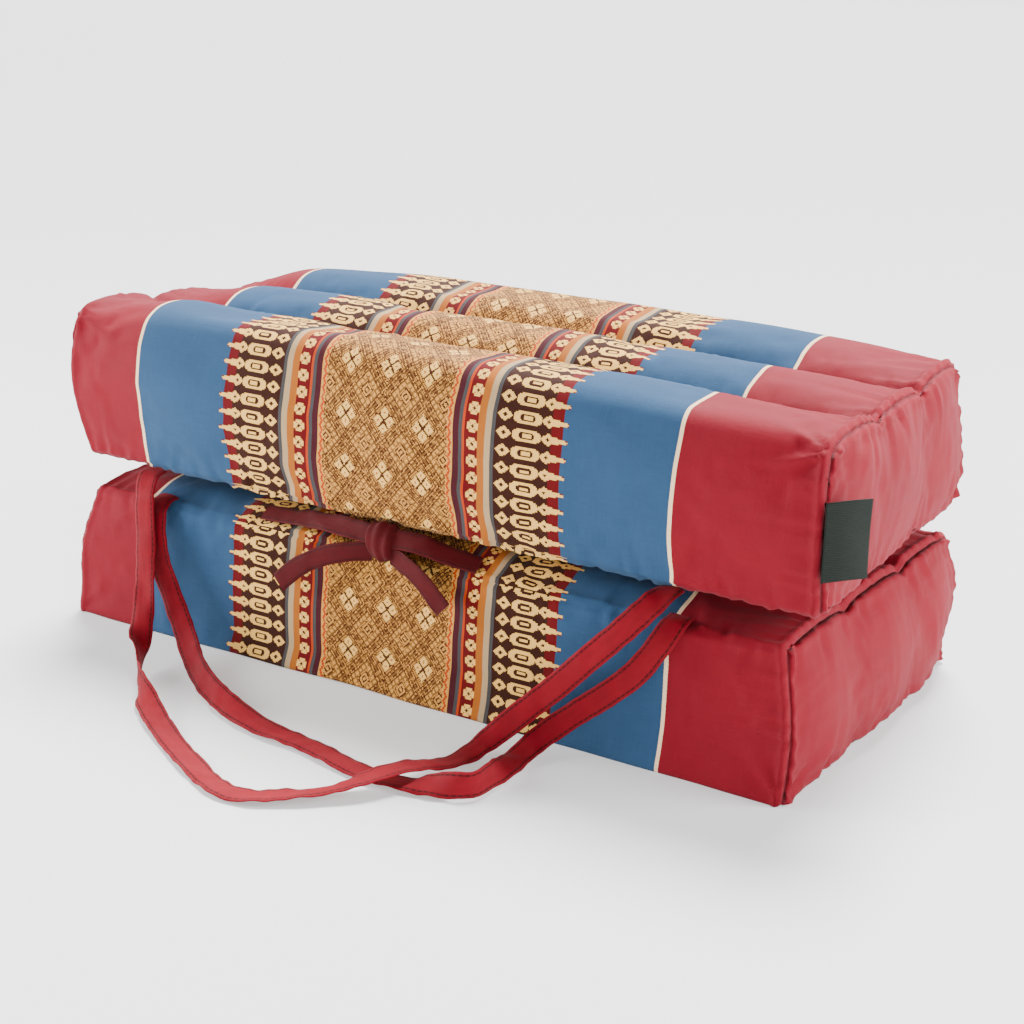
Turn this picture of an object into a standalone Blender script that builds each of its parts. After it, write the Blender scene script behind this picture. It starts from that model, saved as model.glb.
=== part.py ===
"""Folding kapok cushion, folded: two three-channel blocks, hinge strip, handles and tie.

Metres, +Z up. X runs along the channels, -Y is the front with the handles, and the
origin is the middle of the flat base. All lengths in the tables below are millimetres.
"""
from math import cos, radians, sin

import bmesh
import bpy
from mathutils import Vector

MM = 0.001

# Driving sizes of the blocks. The end reaches in the tables are for this half length.
HALF_LENGTH = 200.0
HALF_DEPTH = 88.5
LOWER_SEAM_Z = 68.0
UPPER_SEAM_Z = 86.8
END_BULGE = 5.0
EDGE_CREASE = 0.85
END_CREASE = 0.8

# The upper block's top falls this much per length to the back, and its left end is lifted
# and twisted by these heights at the corner.
BACK_DROP = 0.03
LEFT_END_LIFT = -1.0
LEFT_END_TWIST = 5.0

# Hinge strip
HINGE_HALF_LENGTH = 182.0
HINGE_EDGE_GAP = 0.9
HINGE_TUCK = 4.0
HINGE_THICKNESS = 1.0

# Handle and tie tapes
TAPE_WIDTH = 12.0
TAPE_THICKNESS = 1.6
TAPE_STEPS = 84
TIE_WIDTH = 10.0
TIE_THICKNESS = 1.2
TIE_STEPS = 16
FLOOR_GAP = 0.9

# Stations along a block, from its middle to an end
STATIONS = (0.0, 60.0, 118.0, 162.0, 188.0, HALF_LENGTH)

# How far the front edge of each end reaches from the middle, at the inner seam, at half
# height and at the outer edge, and how much the ends are skewed (x per y).
UPPER_ENDS = {"left": (200.0, 207.5, 203.0), "right": (204.5, 205.0, 203.5), "skew": 0.02}
LOWER_ENDS = {"left": (196.0, 206.0, 204.0), "right": (190.5, 198.0, 198.0), "skew": -0.07}

# Half of a block's cross section, from the middle of the fold side round the front to the
# middle of the outer side. y counts from the middle to the front, z from the inner seam
# towards the outer side.
# The lower block's outer middle is set so that it comes out flat at its crest.
# name            end_y  end_z  mid_y  mid_z
UPPER_SECTION = (
    ("fold crest 2", 0.0, -3.0, 0.0, -9.0),
    ("fold flank 2", 20.0, -2.5, 19.5, -9.0),
    ("fold groove", 29.5, -0.5, 29.5, 0.0),
    ("fold flank 1", 40.0, -2.5, 39.5, -9.0),
    ("fold crest 1", 58.0, -3.0, 58.0, -9.0),
    ("fold shoulder", 75.0, -2.0, 74.0, -7.5),
    ("inner seam", 86.0, 0.0, HALF_DEPTH, 0.0),
    ("face low", 89.5, 18.0, 95.5, 18.0),
    ("face middle", 90.5, 36.0, 97.5, 38.0),
    ("face high", 89.0, 55.0, 94.5, 57.0),
    ("outer edge", 85.5, 71.0, 84.0, 73.5),
    ("outer shoulder", 75.0, 73.0, 73.0, 79.0),
    ("outer crest 1", 58.0, 74.0, 56.0, 80.0),
    ("outer flank 1", 39.0, 72.5, 39.0, 75.0),
    ("outer groove", 29.5, 70.0, 29.5, 57.0),
    ("outer flank 2", 20.0, 71.5, 20.0, 74.5),
    ("outer crest 2", 0.0, 73.0, 0.0, 79.0),
)
LOWER_SECTION = (
    ("fold crest 2", 0.0, -3.0, 0.0, -9.5),
    ("fold flank 2", 20.0, -2.5, 19.5, -9.5),
    ("fold groove", 29.5, -0.5, 29.5, 0.0),
    ("fold flank 1", 40.0, -2.5, 39.5, -9.5),
    ("fold crest 1", 58.0, -3.0, 58.0, -9.5),
    ("fold shoulder", 75.0, -2.0, 74.0, -8.0),
    ("inner seam", 86.0, 0.0, HALF_DEPTH, 0.0),
    ("face low", 89.5, 16.0, 94.5, 16.0),
    ("face middle", 92.0, 33.0, 97.0, 34.0),
    ("face high", 93.0, 50.0, 96.5, 51.0),
    ("outer edge", 97.5, 68.0, 98.0, 68.0),
    ("outer shoulder", 80.0, 68.0, 78.0, 68.0),
    ("outer crest 1", 58.0, 68.0, 58.0, 68.0),
    ("outer flank 1", 39.0, 68.0, 40.0, 68.0),
    ("outer groove", 29.5, 66.0, 29.5, 60.0),
    ("outer flank 2", 20.0, 68.16, 19.0, 68.64),
    ("outer crest 2", 0.0, 67.92, 0.0, 67.68),
)
SEAM_ROW = 6
EDGE_ROW = 10

# Routes of the flat handles. rise is the height above lying on the floor, heading and lift
# give the direction of the tape's width, in degrees.
# x      y      rise  heading  lift
HANDLE_UPPER = (
    (-156.0, -84.0, 82.0, 180.0, 0.0),
    (-156.0, -91.5, 80.3, 180.0, 0.0),
    (-154.0, -97.5, 70.0, 180.0, 0.0),
    (-148.0, -105.0, 52.0, 180.0, 0.0),
    (-140.0, -117.0, 27.0, 178.0, 8.0),
    (-131.5, -131.0, 9.5, 165.0, 35.0),
    (-119.0, -147.0, 1.0, 135.0, 78.0),
    (-106.5, -160.0, 0.5, 95.0, 78.0),
    (-91.0, -172.0, 0.5, 60.0, 20.0),
    (-67.0, -187.5, 0.0, 60.0, 0.0),
    (-38.0, -204.0, 0.0, 62.0, 0.0),
    (-16.0, -214.0, 0.0, 75.0, 0.0),
    (-1.0, -214.0, 0.0, 100.0, 0.0),
    (14.0, -205.5, 0.0, 122.0, -8.0),
    (28.0, -194.0, 0.8, 128.0, -12.0),
    (38.0, -183.0, 4.0, 138.0, -6.0),
    (45.5, -170.5, 6.2, 150.0, 0.0),
    (52.0, -157.5, 4.6, 158.0, 0.0),
    (58.0, -142.0, 0.8, 166.0, 0.0),
    (61.0, -127.0, 0.5, 172.0, 6.0),
    (66.0, -116.5, 4.0, 176.0, 25.0),
    (79.0, -111.5, 16.0, 180.0, 45.0),
    (93.0, -109.5, 30.0, 180.0, 46.0),
    (107.0, -109.0, 45.5, 180.0, 45.0),
    (121.0, -106.0, 61.0, 180.0, 40.0),
    (131.0, -99.5, 74.0, 180.0, 25.0),
    (135.0, -91.5, 80.3, 180.0, 8.0),
    (135.5, -84.0, 82.0, 180.0, 0.0),
)
HANDLE_LOWER = (
    (-149.0, -84.0, 69.5, 0.0, 0.0),
    (-149.0, -91.5, 67.8, 0.0, 0.0),
    (-146.5, -98.5, 59.0, 0.0, 0.0),
    (-141.0, -103.0, 43.0, 5.0, 8.0),
    (-132.0, -107.0, 27.0, 12.0, 20.0),
    (-117.0, -114.5, 9.0, 28.0, 34.0),
    (-102.0, -126.0, 1.0, 45.0, 45.0),
    (-86.0, -138.5, 0.0, 58.0, 50.0),
    (-68.0, -149.0, 0.0, 68.0, 42.0),
    (-50.0, -155.5, 0.0, 78.0, 22.0),
    (-30.0, -159.5, 0.0, 88.0, 4.0),
    (-8.0, -161.0, 0.0, 92.0, 0.0),
    (16.0, -166.5, 0.0, 97.0, 0.0),
    (34.0, -170.0, 0.0, 95.0, 0.0),
    (50.0, -169.0, 0.0, 88.0, 2.0),
    (64.0, -167.5, 0.0, 85.0, 30.0),
    (75.0, -166.5, 0.0, 95.0, 72.0),
    (82.0, -161.5, 0.0, 150.0, 84.0),
    (83.5, -151.0, 0.0, 175.0, 70.0),
    (82.5, -136.0, 0.0, 180.0, 30.0),
    (81.5, -120.0, 0.5, 178.0, 12.0),
    (86.0, -107.5, 4.0, 180.0, 36.0),
    (99.0, -102.0, 15.0, 180.0, 48.0),
    (114.0, -101.0, 28.0, 180.0, 48.0),
    (127.5, -100.5, 42.0, 180.0, 42.0),
    (137.0, -98.0, 58.5, 180.0, 22.0),
    (140.0, -91.5, 67.8, 180.0, 5.0),
    (140.5, -84.0, 69.5, 180.0, 0.0),
)

# Closing tie at the front. z is the height of the tape's middle line.
# x      y      z     heading  lift
TIE_LOOP_LEFT = (
    (-21.3, -93.5, 80.5, 90.0, 60.0),
    (-36.0, -92.5, 80.5, 90.0, 48.0),
    (-55.0, -87.5, 78.3, 90.0, 35.0),
    (-73.0, -83.5, 75.0, 90.0, 29.0),
    (-90.0, -81.0, 73.4, 90.0, 29.0),
)
TIE_LOOP_RIGHT = (
    (-3.1, -93.0, 81.0, 90.0, 60.0),
    (8.0, -92.0, 80.0, 90.0, 50.0),
    (21.0, -88.0, 76.0, 90.0, 35.0),
    (36.0, -83.5, 72.2, 90.0, 29.0),
)
TIE_TAIL_LEFT = (
    (-20.6, -94.0, 70.3, 180.0, 85.0),
    (-32.0, -98.5, 69.5, 180.0, 75.0),
    (-44.0, -100.0, 65.0, 180.0, 62.0),
    (-57.0, -100.5, 57.0, 180.0, 52.0),
    (-68.0, -100.5, 47.0, 180.0, 45.0),
)
TIE_TAIL_RIGHT = (
    (-4.3, -94.0, 70.9, 0.0, 85.0),
    (7.0, -98.0, 69.4, 0.0, 70.0),
    (17.0, -100.0, 63.5, 0.0, 55.0),
    (27.0, -100.5, 54.0, 0.0, 45.0),
)
KNOT_CENTRE = (-12.2, -91.6, 77.2)
KNOT_HALF_SIZE = (8.4, 7.2, 9.7)
KNOT_WAIST = 0.10

# Woven tag in the upper block's front right corner seam
TAG_CORNER = (205.2, -90.0, 121.0)
TAG_SIZE = (20.5, 35.0)
TAG_THICKNESS = 1.2
TAG_TURN = 50.0
TAG_CUT_EDGE = 0.3

RED = (0.60, 0.035, 0.055, 1.0)
CLOTH_BLUE = (0.095, 0.225, 0.42, 1.0)
DARK_TAG = (0.02, 0.025, 0.025, 1.0)


def clear_scene():
    for thing in list(bpy.data.objects):
        bpy.data.objects.remove(thing, do_unlink=True)


def make_material(name, colour, roughness):
    material = bpy.data.materials.new(name)
    material.use_nodes = True
    shader = material.node_tree.nodes["Principled BSDF"]
    shader.inputs["Base Color"].default_value = colour
    shader.inputs["Roughness"].default_value = roughness
    shader.inputs["Metallic"].default_value = 0.0
    return material


def add_object(name, mesh, material, collection):
    thing = bpy.data.objects.new(name, mesh)
    mesh.materials.append(material)
    mesh.shade_smooth()
    collection.objects.link(thing)
    return thing


def lattice_box(counts):
    """A cube stretched over the lattice and cut at every whole number along each axis."""
    bm = bmesh.new()
    bmesh.ops.create_cube(bm, size=1.0)
    for vertex in bm.verts:
        vertex.co = [(part + 0.5) * count for part, count in zip(vertex.co, counts)]
    for axis, count in enumerate(counts):
        normal = Vector((0.0, 0.0, 0.0))
        normal[axis] = 1.0
        for cut in range(1, count):
            everything = bm.verts[:] + bm.edges[:] + bm.faces[:]
            bmesh.ops.bisect_plane(bm, geom=everything, plane_co=normal * cut, plane_no=normal)
    return bm


def fullness(x):
    """How far a section at x has swelled from its sewn end to its full middle shape."""
    return 1.0 - (abs(x) / HALF_LENGTH) ** 4


def section_point(section, row, x):
    name, end_y, end_z, mid_y, mid_z = section[row]
    full = fullness(x)
    return end_y + (mid_y - end_y) * full, end_z + (mid_z - end_z) * full


def station_x(index):
    middle = len(STATIONS) - 1
    side = -1.0 if index < middle else 1.0
    return side * STATIONS[abs(index - middle)]


def end_reach(ends, x, share):
    """x moved so that a block's end meets its reach at this share of the height."""
    inner, middle, outer = ends["left"] if x < 0 else ends["right"]
    low = inner + (middle - inner) * 2.0 * share
    high = middle + (outer - middle) * (2.0 * share - 1.0)
    reach = low if share < 0.5 else high
    return x * (1.0 + (reach / HALF_LENGTH - 1.0) * abs(x / HALF_LENGTH))


def block_point(section, ends, ix, iy, iz):
    """Place of one lattice point: y to the front, z from the inner seam outwards."""
    x = station_x(ix)
    side_rows = EDGE_ROW - SEAM_ROW
    across = iy - SEAM_ROW
    side = 1.0 if across >= 0 else -1.0
    fold_row = abs(across)
    outer_row = len(section) - 1 - abs(across)
    if iz == 0:
        y, z = section_point(section, fold_row, x)
    elif iz == side_rows:
        y, z = section_point(section, outer_row, x)
    elif fold_row == SEAM_ROW:
        y, z = section_point(section, SEAM_ROW + iz, x)
    else:
        fold_y, fold_z = section_point(section, fold_row, x)
        outer_y, outer_z = section_point(section, outer_row, x)
        share = iz / side_rows
        y = fold_y + (outer_y - fold_y) * share
        z = fold_z + (outer_z - fold_z) * share
    share = iz / side_rows
    placed = end_reach(ends, x, share)
    if abs(x) == HALF_LENGTH and fold_row < SEAM_ROW:
        wide = 1.0 - (y / HALF_DEPTH) ** 2
        high = 1.0 - (2.0 * share - 1.0) ** 2
        placed += (1.0 if x > 0 else -1.0) * END_BULGE * wide * high
    return placed, y * side, z


def upper_lean(x, y):
    """Height that the top of the upper block gains at x and y, y counted to the front."""
    left = max(-x / HALF_LENGTH, 0.0) ** 2
    return BACK_DROP * y + left * (LEFT_END_LIFT + LEFT_END_TWIST * y / HALF_DEPTH)


def make_block(name, section, ends, seam_z, outwards, edge_crease, material, collection):
    """One filled block. outwards is +1 for the upper block and -1 for the lower."""
    counts = (2 * (len(STATIONS) - 1), 2 * SEAM_ROW, EDGE_ROW - SEAM_ROW)
    bm = lattice_box(counts)
    crease = bm.edges.layers.float.new("crease_edge")
    spots = {vertex: tuple(round(part) for part in vertex.co) for vertex in bm.verts}
    for edge in bm.edges:
        low, high = (spots[vertex] for vertex in edge.verts)
        on_end = low[0] == high[0] and low[0] in (0, counts[0])
        on_side = low[1] == high[1] and low[1] in (0, counts[1])
        on_fold = low[2] == high[2] == 0
        on_outer = low[2] == high[2] == counts[2]
        if on_side and on_fold:
            edge[crease] = 1.0
        elif on_side and on_outer:
            edge[crease] = edge_crease
        elif on_end and (on_side or on_fold or on_outer):
            edge[crease] = END_CREASE
    for vertex, spot in spots.items():
        x, y, z = block_point(section, ends, *spot)
        if outwards > 0:
            z += upper_lean(x, y) * max(z, 0.0) / HALF_DEPTH
        x += ends["skew"] * (y - HALF_DEPTH)
        vertex.co = (x * MM, -y * MM, (seam_z + outwards * z) * MM)
    if bm.calc_volume(signed=True) < 0.0:
        bmesh.ops.reverse_faces(bm, faces=bm.faces[:])
    mesh = bpy.data.meshes.new(name)
    bm.to_mesh(mesh)
    bm.free()
    block = add_object(name, mesh, material, collection)
    smooth = block.modifiers.new("Filled", "SUBSURF")
    smooth.levels = 1
    smooth.render_levels = 1
    return block


def smooth_point(points, at):
    """Point of a smooth curve through the given points; at counts in points."""
    last = len(points) - 1
    index = min(int(at), last - 1)
    part = at - index
    before = points[max(index - 1, 0)]
    start, end = points[index], points[index + 1]
    after = points[min(index + 2, last)]
    bend = (end - before) * part + (before * 2 - start * 5 + end * 4 - after) * part ** 2
    bend += (start * 3 - before - end * 3 + after) * part ** 3
    return start + bend * 0.5


def width_direction(heading, lift):
    turn, up = radians(heading), radians(lift)
    return Vector((cos(turn) * cos(up), sin(turn) * cos(up), sin(up)))


def make_tape(name, rows, width, thickness, steps, material, collection):
    """A flat tape: a strip laid along its route, its width as the rows say, then thickened."""
    centres = [Vector(row[:3]) for row in rows]
    widths = [width_direction(row[3], row[4]) for row in rows]
    bm = bmesh.new()
    bmesh.ops.create_grid(bm, x_segments=steps, y_segments=2, size=0.5)
    for vertex in bm.verts:
        at = (vertex.co.x + 0.5) * (len(rows) - 1)
        side = round(vertex.co.y * 2)
        nudge = 0.01
        along = smooth_point(centres, min(at + nudge, len(rows) - 1))
        along -= smooth_point(centres, max(at - nudge, 0.0))
        along.normalize()
        across = smooth_point(widths, at)
        across -= along * across.dot(along)
        across.normalize()
        vertex.co = (smooth_point(centres, at) + across * side * width / 2) * MM
    mesh = bpy.data.meshes.new(name)
    bm.to_mesh(mesh)
    bm.free()
    tape = add_object(name, mesh, material, collection)
    solid = tape.modifiers.new("Tape", "SOLIDIFY")
    solid.thickness = thickness * MM
    solid.offset = 0.0
    solid.use_even_offset = True
    return tape


def floor_rows(rows, width, thickness):
    """Rows with rise turned into the height of the tape's middle line."""
    placed = []
    for x, y, rise, heading, lift in rows:
        lie = abs(sin(radians(lift))) * width / 2 + cos(radians(lift)) * thickness / 2
        placed.append((x, y, rise + lie + FLOOR_GAP, heading, lift))
    return placed


def make_hinge(material, collection):
    """The cloth strip that joins the inner back seams, slack and tucked inwards."""
    low, high = LOWER_SEAM_Z + HINGE_EDGE_GAP, UPPER_SEAM_Z - HINGE_EDGE_GAP
    bm = bmesh.new()
    bmesh.ops.create_grid(bm, x_segments=16, y_segments=4, size=0.5)
    for vertex in bm.verts:
        x = vertex.co.x * 2 * HINGE_HALF_LENGTH
        share = vertex.co.y + 0.5
        seam_y = section_point(UPPER_SECTION, SEAM_ROW, x)[0]
        y = seam_y - HINGE_TUCK * (1.0 - (2 * share - 1.0) ** 2)
        vertex.co = (x * MM, y * MM, (low + (high - low) * share) * MM)
    mesh = bpy.data.meshes.new("hinge_strip")
    bm.to_mesh(mesh)
    bm.free()
    strip = add_object("hinge_strip", mesh, material, collection)
    solid = strip.modifiers.new("Cloth", "SOLIDIFY")
    solid.thickness = HINGE_THICKNESS * MM
    solid.offset = 0.0
    return strip


def make_knot(material, collection):
    """The pulled-tight knot: a ball drawn out towards both seams with a waist of wraps."""
    bm = bmesh.new()
    bmesh.ops.create_uvsphere(bm, u_segments=16, v_segments=10, radius=1.0)
    for vertex in bm.verts:
        wrap = 1.0 + KNOT_WAIST * cos(vertex.co.z * 9.0)
        spread = (wrap, wrap, 1.0)
        vertex.co = [
            (centre + half * part * grow) * MM
            for centre, half, part, grow in zip(KNOT_CENTRE, KNOT_HALF_SIZE, vertex.co, spread)
        ]
    mesh = bpy.data.meshes.new("tie_knot")
    bm.to_mesh(mesh)
    bm.free()
    return add_object("tie_knot", mesh, material, collection)


def make_tag(material, collection):
    """A stiff woven tag that stands out of the corner seam at an angle."""
    width, height = TAG_SIZE
    bm = bmesh.new()
    bmesh.ops.create_cube(bm, size=1.0)
    for vertex in bm.verts:
        vertex.co.x = (vertex.co.x + 0.5) * width * MM
        vertex.co.y *= TAG_THICKNESS * MM
        vertex.co.z *= height * MM
    mesh = bpy.data.meshes.new("seam_tag")
    bm.to_mesh(mesh)
    bm.free()
    tag = add_object("seam_tag", mesh, material, collection)
    tag.data.shade_flat()
    tag.location = [part * MM for part in TAG_CORNER]
    tag.rotation_euler = (0.0, 0.0, radians(TAG_TURN))
    rounding = tag.modifiers.new("Cut edge", "BEVEL")
    rounding.width = TAG_CUT_EDGE * MM
    rounding.segments = 1
    return tag


def main():
    clear_scene()
    collection = bpy.data.collections.new("folded_kapok_cushion")
    bpy.context.scene.collection.children.link(collection)
    cover = make_material("Patterned cotton", CLOTH_BLUE, 0.8)
    red = make_material("Red cotton", RED, 0.75)
    dark = make_material("Woven tag", DARK_TAG, 0.7)

    make_block("upper_block", UPPER_SECTION, UPPER_ENDS, UPPER_SEAM_Z, 1.0, 0.0,
               cover, collection)
    make_block("lower_block", LOWER_SECTION, LOWER_ENDS, LOWER_SEAM_Z, -1.0, EDGE_CREASE,
               cover, collection)
    make_hinge(red, collection)
    for name, rows in (("handle_upper", HANDLE_UPPER), ("handle_lower", HANDLE_LOWER)):
        placed = floor_rows(rows, TAPE_WIDTH, TAPE_THICKNESS)
        make_tape(name, placed, TAPE_WIDTH, TAPE_THICKNESS, TAPE_STEPS, red, collection)
    ties = (
        ("tie_loop_left", TIE_LOOP_LEFT),
        ("tie_loop_right", TIE_LOOP_RIGHT),
        ("tie_tail_left", TIE_TAIL_LEFT),
        ("tie_tail_right", TIE_TAIL_RIGHT),
    )
    for name, rows in ties:
        make_tape(name, rows, TIE_WIDTH, TIE_THICKNESS, TIE_STEPS, red, collection)
    make_knot(red, collection)
    make_tag(dark, collection)


main()
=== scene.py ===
"""Looks of the folded kapok cushion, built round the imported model.

X runs along the channels, -Y is the front with the handles, +Z is up and the floor is
z = 0. Tables and sizes are millimetres; meshes are metres, like the frame.
"""

from math import cos, radians, sin

import bpy
import numpy as np
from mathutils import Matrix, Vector


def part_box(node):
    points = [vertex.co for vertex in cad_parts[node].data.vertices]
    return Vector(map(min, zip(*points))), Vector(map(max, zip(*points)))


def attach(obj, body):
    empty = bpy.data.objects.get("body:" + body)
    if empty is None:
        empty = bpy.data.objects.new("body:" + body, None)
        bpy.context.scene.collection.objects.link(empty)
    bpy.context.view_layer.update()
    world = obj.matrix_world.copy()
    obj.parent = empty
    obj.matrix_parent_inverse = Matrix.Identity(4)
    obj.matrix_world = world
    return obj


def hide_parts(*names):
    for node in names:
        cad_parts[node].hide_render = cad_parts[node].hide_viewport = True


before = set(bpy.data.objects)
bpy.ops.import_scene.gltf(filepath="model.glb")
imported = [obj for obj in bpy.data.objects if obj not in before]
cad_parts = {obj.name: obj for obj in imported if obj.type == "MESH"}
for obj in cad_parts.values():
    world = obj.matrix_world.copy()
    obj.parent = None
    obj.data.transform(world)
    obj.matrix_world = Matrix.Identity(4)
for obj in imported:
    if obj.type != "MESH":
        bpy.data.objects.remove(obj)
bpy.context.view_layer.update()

MM = 0.001

# Shape of the filled blocks, the same as the CAD's
HALF_LENGTH = 200.0
HALF_DEPTH = 88.5
LOWER_SEAM_Z = 68.0
UPPER_SEAM_Z = 86.8
BACK_DROP = 0.03
LEFT_END_LIFT = -1.0
LEFT_END_TWIST = 5.0
STATIONS = (-HALF_LENGTH, -188.0, -162.0, -118.0, -60.0, 0.0, 60.0, 118.0, 162.0, 188.0, HALF_LENGTH)
UPPER_ENDS = {"left": (200.0, 207.5, 203.0), "right": (204.5, 205.0, 203.5), "skew": 0.02}
LOWER_ENDS = {"left": (196.0, 206.0, 204.0), "right": (190.5, 198.0, 198.0), "skew": -0.07}

# Half of a block's cross section, from the middle of the fold side round the front to the
# middle of the outer side: y and z at the sewn end, then y and z in the middle.
UPPER_SECTION = (
    (0, -3, 0, -9),
    (20, -2.5, 19.5, -9),
    (29.5, -0.5, 29.5, 0),
    (40, -2.5, 39.5, -9),
    (58, -3, 58, -9),
    (75, -2, 74, -7.5),
    (86, 0, HALF_DEPTH, 0),
    (89.5, 18, 95.5, 18),
    (90.5, 36, 97.5, 38),
    (89, 55, 94.5, 57),
    (85.5, 71, 84, 73.5),
    (75, 73, 73, 79),
    (58, 74, 56, 80),
    (39, 72.5, 39, 75),
    (29.5, 70, 29.5, 57),
    (20, 71.5, 20, 74.5),
    (0, 73, 0, 79),
)
LOWER_SECTION = (
    (0, -3, 0, -9.5),
    (20, -2.5, 19.5, -9.5),
    (29.5, -0.5, 29.5, 0),
    (40, -2.5, 39.5, -9.5),
    (58, -3, 58, -9.5),
    (75, -2, 74, -8),
    (86, 0, HALF_DEPTH, 0),
    (89.5, 16, 94.5, 16),
    (92, 33, 97, 34),
    (93, 50, 96.5, 51),
    (97.5, 68, 98, 68),
    (80, 68, 78, 68),
    (58, 68, 58, 68),
    (39, 68, 40, 68),
    (29.5, 66, 29.5, 60),
    (20, 68.16, 19, 68.64),
    (0, 67.92, 0, 67.68),
)
SEAM_ROW = 6
EDGE_ROW = 10
GROOVE_DEPTH = 29.5
UPPER_FLAT_Z = 77.75
LOWER_FLAT_Z = 77.45

# Fineness of the covers
LENGTH_STEPS = 192
FACE_STEPS = 36
SIDE_STEPS = 84

# Cloth run on a coarser net that takes every third point of the covers
CLOTH_STRIDE = 3
CLOTH_FRAMES = 26
CLOTH_QUALITY = 5
CLOTH_PRESSURE = 0.8
CLOTH_SPARE_MIDDLE = 0.002
CLOTH_SPARE_ENDS = 0.022
CLOTH_SPARE_REACH = 22.0
CLOTH_CAP = 3.5

# Seams: place and width of the ridge beside the stitches, width of the stitched groove
RIDGE_AT = 2.7
RIDGE_WIDTH = 1.4
STITCH_WIDTH = 1.1

# Sewn grooves between the channels: depth and width of each dent that makes them
CHANNEL_DENTS = ((2.6, 3.2), (1.2, 1.2))

# End panels: height, crown and how far the channels show in it
PANEL_HEIGHT = 72.0
PANEL_CROWN = 6.0
PANEL_CHANNELS = 1.6

# Cloth coordinates of the end panels: where they start and their step
PANEL_CLOTH = (215.0, 2.1)

# How far the covers' corners settle from the solids: along x and y, or x and z where sunk
RIGHT_FULL = (3.5, 4.5)
RIGHT_DRAWN = (7.0, 8.0)
LEFT_SHOULDER = 3.6
LEFT_SUNK = (8.0, 7.5)

# Cloth pattern, as distances along the cushion from the pattern's middle line
PATTERN_MIDDLE = -10.5
LATTICE_EDGE = 35.0
ORANGE_THREAD = 36.4
PURPLE_STRIPE = (38.0, 43.0)
FLOWER_COLUMN = 48.1
AMBER_BAND = 51.0
LIGHT_STRIPE = 54.4
SLATE_STRIPE = (57.4, 59.8)
SMALL_DIAMOND = 63.8
OVAL = 75.1
ARROW = 85.4
TEETH = 87.0
TIP_END = 95.0
TIP_SLOPE = 0.17
CREAM_LINE = (147.0, 148.7)
REPEAT = 8.1
LATTICE_CELL = (22.0, 25.5)
THREAD = 0.62
WEAVE = 0.45


def rows_of(section, x):
    """Cross section points of all rows at distance x along the block: y to the front, z out."""
    full = 1.0 - (abs(x) / HALF_LENGTH) ** 4
    table = np.array(section, dtype=float)
    return table[:, 0:2] + (table[:, 2:4] - table[:, 0:2]) * full


def end_reach(ends, x, share):
    """x moved so that a block's end meets its reach at this share of the height."""
    inner, middle, outer = ends["left"] if x < 0 else ends["right"]
    low = inner + (middle - inner) * 2.0 * share
    high = middle + (outer - middle) * (2.0 * share - 1.0)
    reach = low if share < 0.5 else high
    return x * (1.0 + (reach / HALF_LENGTH - 1.0) * abs(x / HALF_LENGTH))


def upper_lean(x, y):
    """Height that the top of the upper block gains at x and y, y counted to the front."""
    left = np.maximum(-x / HALF_LENGTH, 0.0) ** 2
    return BACK_DROP * y + left * (LEFT_END_LIFT + LEFT_END_TWIST * y / HALF_DEPTH)


def control_net(section, ends, rows, is_upper):
    """Control points of one run of the cover. A row is (number, side), side +1 in front."""
    net = np.zeros((len(STATIONS), len(rows), 3))
    side_rows = EDGE_ROW - SEAM_ROW
    for i, x in enumerate(STATIONS):
        points = rows_of(section, x)
        for j, (row, side) in enumerate(rows):
            y, z = points[row]
            share = min(max(row - SEAM_ROW, 0) / side_rows, 1.0)
            placed = end_reach(ends, x, share)
            depth = y * side
            if is_upper:
                z += upper_lean(placed, depth) * max(z, 0.0) / HALF_DEPTH
            placed += ends["skew"] * (depth - HALF_DEPTH)
            net[i, j] = (placed, depth, z)
    return net


def spline_weights(at, count):
    """Weights of a uniform cubic spline through count control points that meets both ends."""
    weights = np.zeros((len(at), count + 2))
    index = np.clip(np.floor(at).astype(int), 0, count - 2)
    t = at - index
    basis = np.stack([
        (1 - t) ** 3,
        3 * t ** 3 - 6 * t ** 2 + 4,
        -3 * t ** 3 + 3 * t ** 2 + 3 * t + 1,
        t ** 3,
    ], axis=1) / 6.0
    for k in range(4):
        np.add.at(weights, (np.arange(len(at)), index + k), basis[:, k])
    inner = weights[:, 1:-1].copy()
    inner[:, 0] += 2 * weights[:, 0]
    inner[:, 1] -= weights[:, 0]
    inner[:, -1] += 2 * weights[:, -1]
    inner[:, -2] -= weights[:, -1]
    return inner


def walked_along(points):
    """Length walked to each point of a line."""
    steps = np.linalg.norm(np.diff(points, axis=0), axis=1)
    return np.concatenate([[0.0], np.cumsum(steps)])


def even_steps(net_row, low, high, steps):
    """Spline parameters from low to high that are evenly spaced along the section."""
    fine = np.linspace(low, high, 400)
    points = spline_weights(fine, len(net_row)) @ net_row
    length = walked_along(points)
    return np.interp(np.linspace(0.0, length[-1], steps + 1), length, fine)


class Waves:
    """A repeatable row of uneven waves: a sum of sines with set lengths and chance phases."""

    def __init__(self, seed, shortest, longest, count=7):
        chance = np.random.default_rng(seed)
        self.lengths = np.geomspace(shortest, longest, count) * chance.uniform(0.92, 1.08, count)
        self.phases = chance.uniform(0.0, 2 * np.pi, count)
        self.strengths = chance.uniform(0.6, 1.0, count)
        self.strengths /= np.sqrt((self.strengths ** 2).sum() / 2)

    def at(self, place):
        turns = place[..., None] * (2 * np.pi / self.lengths) + self.phases
        return (np.sin(turns) * self.strengths).sum(axis=-1) * 0.7


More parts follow.
